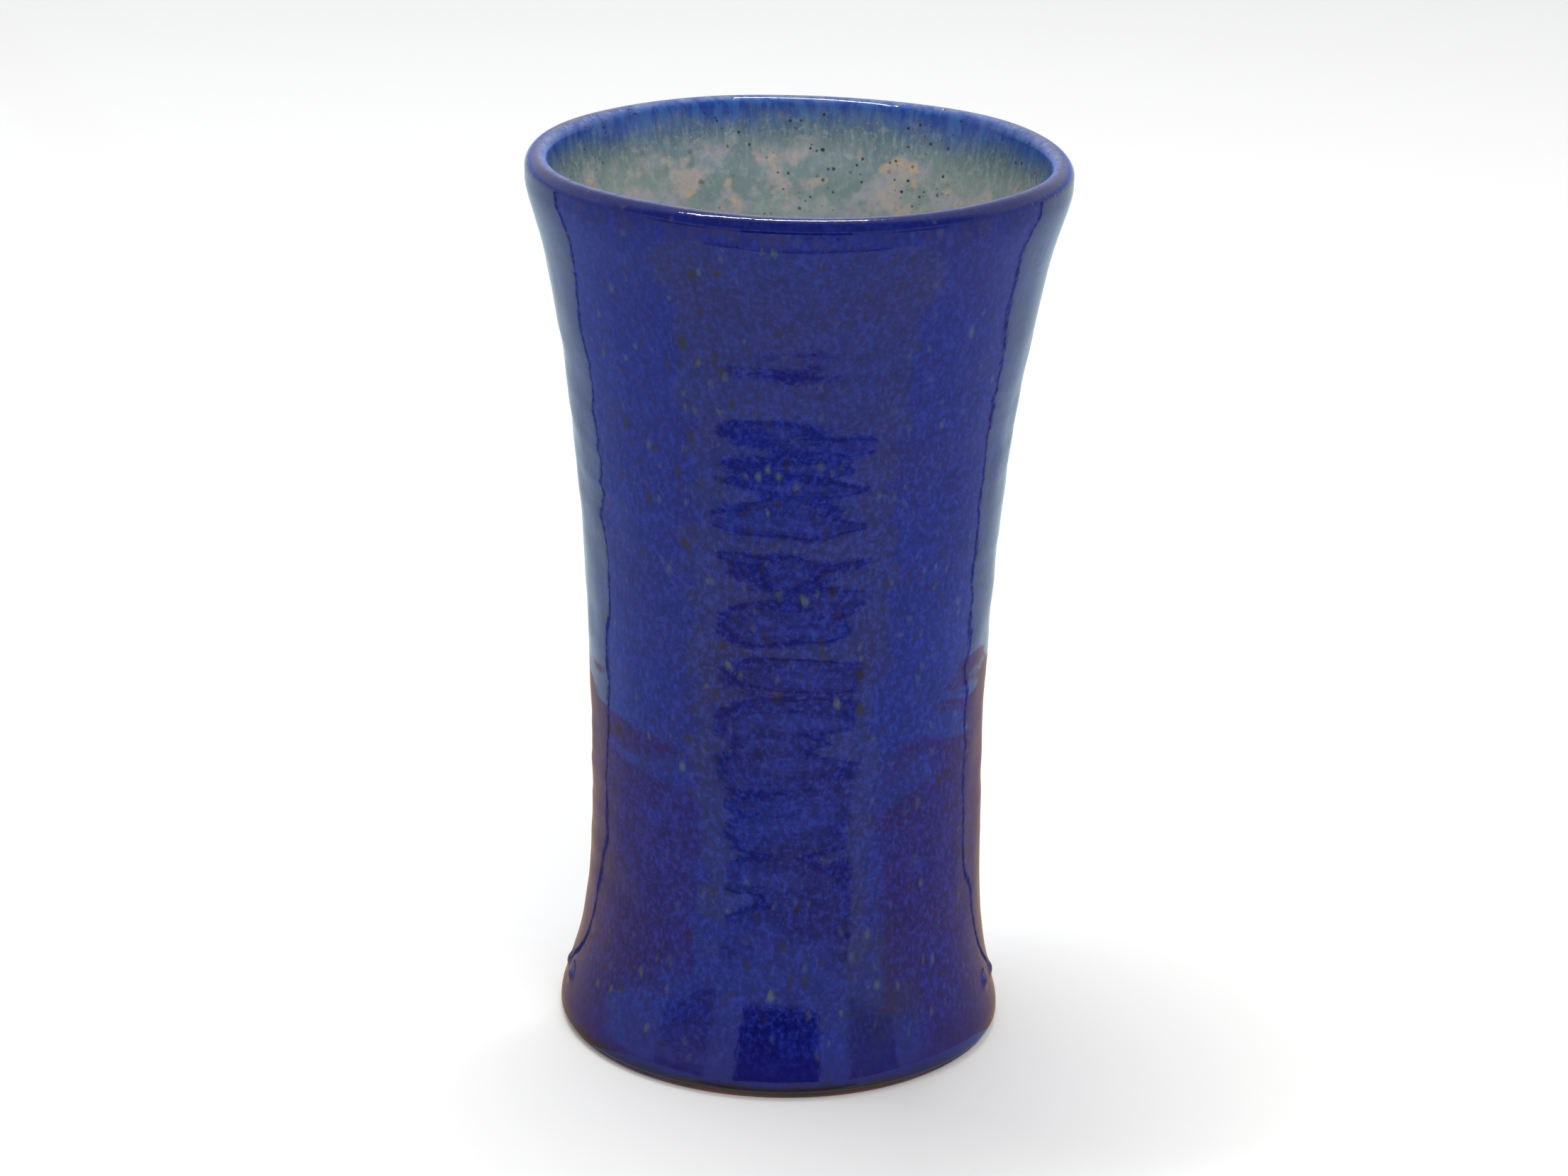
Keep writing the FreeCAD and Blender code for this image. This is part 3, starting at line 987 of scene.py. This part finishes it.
studio = {
    "floorColour": shade(236, 236, 235),
    "floorRoughness": 0.9,
    "floorSize": 12.0,
    "ambient": 0.75,
    "backdrop": 1.0,
    "roomInGloss": (0.42, 0.52, 1.10, 1),  # cool light of the room, as the glaze mirrors it
    "ceilingInGloss": (0.78, 0.80, 0.84, 1),
    "frontInGloss": (0.16, 0.20, 0.36, 1),  # the darker side of the room, above and in front
    "frontFade": (0.15, -0.35),  # by the y, then the z, of the way that a ray goes
    "upperFade": (0.10, 0.30),
    "aim": (0, 0, 0.09),  # where the lamps point
}
softBox = {"place": (-0.15, 0.25, 1.3), "size": (0.85, 0.06), "watts": 9.0, "mirrored": True}
frontFill = {"place": (0.6, -1.4, 1.1), "size": (1.4, 1.0), "watts": 14.0, "mirrored": False}
shotCamera = {
    "focus": 91.14,  # lens and frame in mm
    "frameWidth": 36,
    "away": 4.1515,  # these three as shares of the mug's height
    "height": 1.9672,
    "aside": 0.0037,
    "down": 0.33855,  # radians
    "pan": -0.00233,
    "roll": 0.02148,
    "nearest": 0.01,
    "farthest": 100,
}
white = (1, 1, 1, 1)


def flatCard(name, corners, colour, glow):
    # a stage card that only shows in the glaze
    mesh = bpy.data.meshes.new(name)
    mesh.from_pydata(corners, [], [tuple(range(len(corners)))])
    card = bpy.data.objects.new(name, mesh)
    bpy.context.collection.objects.link(card)
    card.visible_camera = card.visible_diffuse = card.visible_shadow = False
    card.visible_transmission = card.visible_volume_scatter = False
    finish = bpy.data.materials.new(name + "Finish")
    finish.use_nodes = True
    tree = finish.node_tree
    tree.nodes.clear()
    light = put(tree, "ShaderNodeEmission", {"Color": colour, "Strength": glow})
    put(tree, "ShaderNodeOutputMaterial", {"Surface": light.outputs[0]})
    wear(card, finish)


def makeFloor():
    half = studio["floorSize"] / 2
    corners = [(-half, -half, 0), (half, -half, 0), (half, half, 0), (-half, half, 0)]
    mesh = bpy.data.meshes.new("floor")
    mesh.from_pydata(corners, [], [(0, 1, 2, 3)])
    floor = bpy.data.objects.new("floor", mesh)
    bpy.context.collection.objects.link(floor)
    finish = newFinish("floorFinish", studio["floorRoughness"])[0]
    shader = finish.node_tree.nodes["Principled BSDF"]
    shader.inputs["Base Color"].default_value = studio["floorColour"]
    floor.visible_glossy = False
    wear(floor, finish)


gloss = {
    "hub": 0.03,  # cards on the floor leave this radius open under the mug
    "steps": 24,  # sides of a rounded card
    "sweepHalfAngle": 62,  # degrees either side of straight behind
    "sweepReach": 6.0,
    "sweepHeight": 0.0001,
    "sweepColour": (0.60, 0.74, 0.80, 1),
    "seamAngle": 2.5,
    "seamHeight": 0.0004,
    "seamGlow": 0.04,
    "boardPlace": (0.008, 0.030),
    "boardReach": 0.180,
    "boardHeight": 0.0003,
    "boardHalfAngle": 140,
    "boardSteps": 40,
    "boardColour": shade(181, 155, 124),
    # the panel in front and its slats: half width and y of the near edge, then of the far edge
    "panel": (0.58, -0.12, 0.88, -0.96),
    "slats": (
        (0.60, -0.705, 0.64, -0.800),
        (0.74, -0.842, 0.76, -0.880),
        (0.68, -0.905, 0.74, -0.945),
        (0.80, -1.080, 0.84, -1.120),
    ),
    "panelHeight": -0.32,
    "slatHeight": -0.318,
    "panelColour": (0.56, 0.62, 0.40, 1),
    "slatGlow": 0.07,
    "lensHalf": 0.49,
    "lensPlace": (-1.3, -0.14, 0.24),  # y, then heights of the lower and upper edge
    "dimPlace": (-1.3, -0.24, 0.16),
    "dimFrom": 0.95,
    "dimTo": 2.6,
    "dimGlow": 0.22,
}


def spread(nearHalf, near, farHalf, far, z):
    # flat card in front of the mug
    return [(-nearHalf, near, z), (nearHalf, near, z), (farHalf, far, z), (-farHalf, far, z)]


def upright(left, right, y, low, high):
    return [(left, y, low), (right, y, low), (right, y, high), (left, y, high)]


def sector(outer, fromDegrees, toDegrees, z, steps):
    # flat slice of a ring about the mug, angles from +Y towards +X
    inner, whole = gloss["hub"], toDegrees - fromDegrees
    a = [math.radians(fromDegrees + whole * i / steps) for i in range(steps + 1)]
    near = [(inner * math.sin(t), inner * math.cos(t), z) for t in a]
    return near + [(outer * math.sin(t), outer * math.cos(t), z) for t in reversed(a)]


def boardCard():
    half, (aside, back) = gloss["boardHalfAngle"], gloss["boardPlace"]
    board = sector(gloss["boardReach"], -half, half, gloss["boardHeight"], gloss["boardSteps"])
    corners = [(x + aside, y + back, z) for x, y, z in board]
    flatCard("boardCard", corners, gloss["boardColour"], 1.0)


def sweepCards():
    # the pale sweep behind, a dark seam at either end of it, and a dim card past each seam
    half, seam, steps = gloss["sweepHalfAngle"], gloss["seamAngle"], gloss["steps"]
    far = gloss["sweepReach"]
    corners = sector(far, -half, half, gloss["sweepHeight"], steps)
    flatCard("sweepCard", corners, gloss["sweepColour"], 1.0)
    for side, name in ((-1, "left"), (1, "right")):
        corners = sector(far, side * half, side * (half + seam), gloss["seamHeight"], steps)
        flatCard(name + "SeamCard", corners, white, gloss["seamGlow"])
        ends = sorted((side * gloss["dimFrom"], side * gloss["dimTo"]))
        flatCard(name + "DimCard", upright(*ends, *gloss["dimPlace"]), white, gloss["dimGlow"])


def frontCards():
    # a slatted panel below, and the dark shape of the camera
    panel = spread(*gloss["panel"], gloss["panelHeight"])
    flatCard("panelCard", panel, gloss["panelColour"], 1.0)
    for number, slat in enumerate(gloss["slats"]):
        corners = spread(*slat, gloss["slatHeight"])
        flatCard("slatCard" + str(number), corners, white, gloss["slatGlow"])
    half = gloss["lensHalf"]
    flatCard("lensCard", upright(-half, half, *gloss["lensPlace"]), white, 0.0)


def makeLamp(name, spec):
    lamp = bpy.data.lights.new(name, "AREA")
    lamp.shape = "RECTANGLE"
    lamp.size, lamp.size_y = spec["size"]
    lamp.energy = spec["watts"]
    holder = bpy.data.objects.new(name, lamp)
    holder.location = spec["place"]
    ahead = Vector(studio["aim"]) - holder.location
    holder.rotation_euler = ahead.to_track_quat("-Z", "Y").to_euler()
    holder.visible_glossy = spec["mirrored"]
    bpy.context.collection.objects.link(holder)


def background(tree, colour, strength):
    plugs = {"Color": colour, "Strength": strength}
    return put(tree, "ShaderNodeBackground", plugs).outputs[0]


def makeWorld():
    # white to the eye, soft to the mug's own colour, and a cool room in its gloss
    world = bpy.data.worlds.new("studio")
    bpy.context.scene.world = world
    world.use_nodes = True
    tree = world.node_tree
    tree.nodes.clear()
    rays = put(tree, "ShaderNodeLightPath").outputs
    where = put(tree, "ShaderNodeTexCoord").outputs["Generated"]
    way = put(tree, "ShaderNodeSeparateXYZ", {0: where}).outputs
    front = fade(tree, way[1], *studio["frontFade"])
    upper = blend(tree, front, studio["ceilingInGloss"], studio["frontInGloss"])
    room = blend(tree, fade(tree, way[2], *studio["upperFade"]), studio["roomInGloss"], upper)
    soft = background(tree, white, studio["ambient"])
    mirrored = background(tree, room, 1.0)
    plugs = {0: rays["Is Glossy Ray"], 1: soft, 2: mirrored}
    both = put(tree, "ShaderNodeMixShader", plugs).outputs[0]
    plain = background(tree, white, studio["backdrop"])
    plugs = {0: rays["Is Camera Ray"], 1: both, 2: plain}
    both = put(tree, "ShaderNodeMixShader", plugs).outputs[0]
    put(tree, "ShaderNodeOutputWorld", {"Surface": both})


def makeCamera():
    lens = bpy.data.cameras.new("camera")
    lens.lens = shotCamera["focus"]
    lens.sensor_width = shotCamera["frameWidth"]
    lens.clip_start, lens.clip_end = shotCamera["nearest"], shotCamera["farthest"]
    camera = bpy.data.objects.new("camera", lens)
    bpy.context.collection.objects.link(camera)
    down, pan, roll = shotCamera["down"], shotCamera["pan"], shotCamera["roll"]
    forward, drop = math.cos(down), -math.sin(down)
    ahead = Vector((math.sin(pan) * forward, math.cos(pan) * forward, drop))
    level = Vector((math.cos(pan), -math.sin(pan), 0))
    top = math.cos(roll) * level.cross(ahead) - math.sin(roll) * level
    turned = Matrix((ahead.cross(top), top, -ahead)).transposed().to_4x4()
    shares = (shotCamera["aside"], -shotCamera["away"], shotCamera["height"])
    camera.matrix_world = Matrix.Translation(Vector(shares) * mugHeight) @ turned
    bpy.context.scene.camera = camera


makeFloor()
boardCard()
sweepCards()
frontCards()
makeLamp("softBox", softBox)
makeLamp("frontFill", frontFill)
makeWorld()
makeCamera()
bpy.context.scene.view_settings.view_transform = "Standard"
print("stage set")
